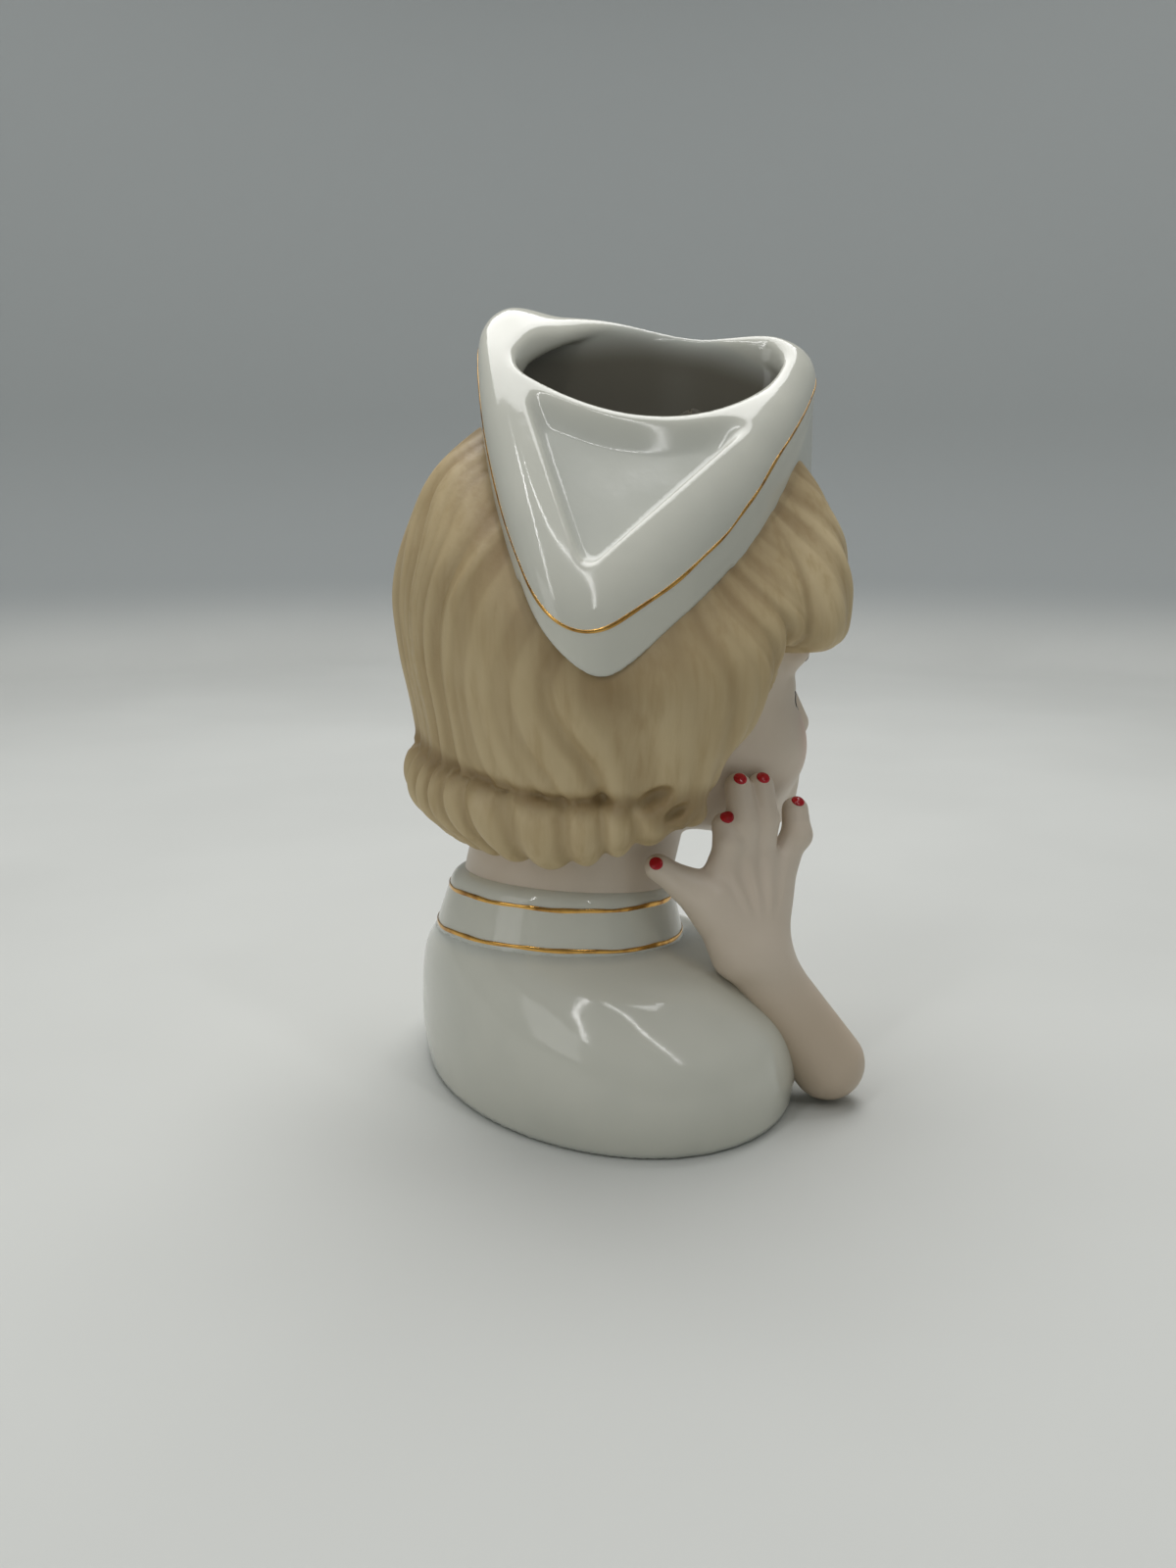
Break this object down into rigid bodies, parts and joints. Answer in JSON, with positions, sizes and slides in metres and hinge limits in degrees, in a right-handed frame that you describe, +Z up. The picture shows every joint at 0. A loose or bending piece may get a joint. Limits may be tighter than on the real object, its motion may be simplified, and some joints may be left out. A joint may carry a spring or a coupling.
{
  "type": "head planter",
  "caption": "Hollow ceramic planter in the form of a woman's head and shoulders, with a tilted three-cornered hat whose open top holds the plant and a hand raised to the cheek.",
  "frame": {"origin": "middle of the flat foot, on the surface it stands on", "axes": "+Z up, the face looks along -Y, her right side is -X"},
  "size_m": [0.1, 0.0914, 0.1525],
  "materials": {
    "white_glaze": "clear gloss glaze over white porcelain",
    "skin_bisque": "satin unglazed bisque with a warm tint",
    "hair_bisque": "matte airbrushed bisque, darker in the grooves",
    "gold_lustre": "bright fired gold line",
    "red_enamel": "gloss red enamel",
    "lip_enamel": "satin red enamel",
    "black_enamel": "gloss black enamel",
    "brown_enamel": "thin brown enamel line"
  },
  "bodies": {
    "root": {"bust_shell": "white_glaze", "dress_collar": "white_glaze", "hat_shell": "white_glaze", "collar_gold_line_lower": "gold_lustre", "collar_gold_line_upper": "gold_lustre", "hat_gold_line": "gold_lustre", "neck_shell": "skin_bisque", "face_shell": "skin_bisque", "forearm": "skin_bisque", "hand_palm": "skin_bisque", "thumb": "skin_bisque", "index_finger": "skin_bisque", "middle_finger": "skin_bisque", "ring_finger": "skin_bisque", "little_finger": "skin_bisque", "hair_cap": "hair_bisque", "hair_fringe": "hair_bisque", "hair_roll": "hair_bisque", "fingernails": "red_enamel", "lips": "lip_enamel", "eyelashes": "black_enamel", "eyebrows": "brown_enamel"}
  },
  "joints": []
}
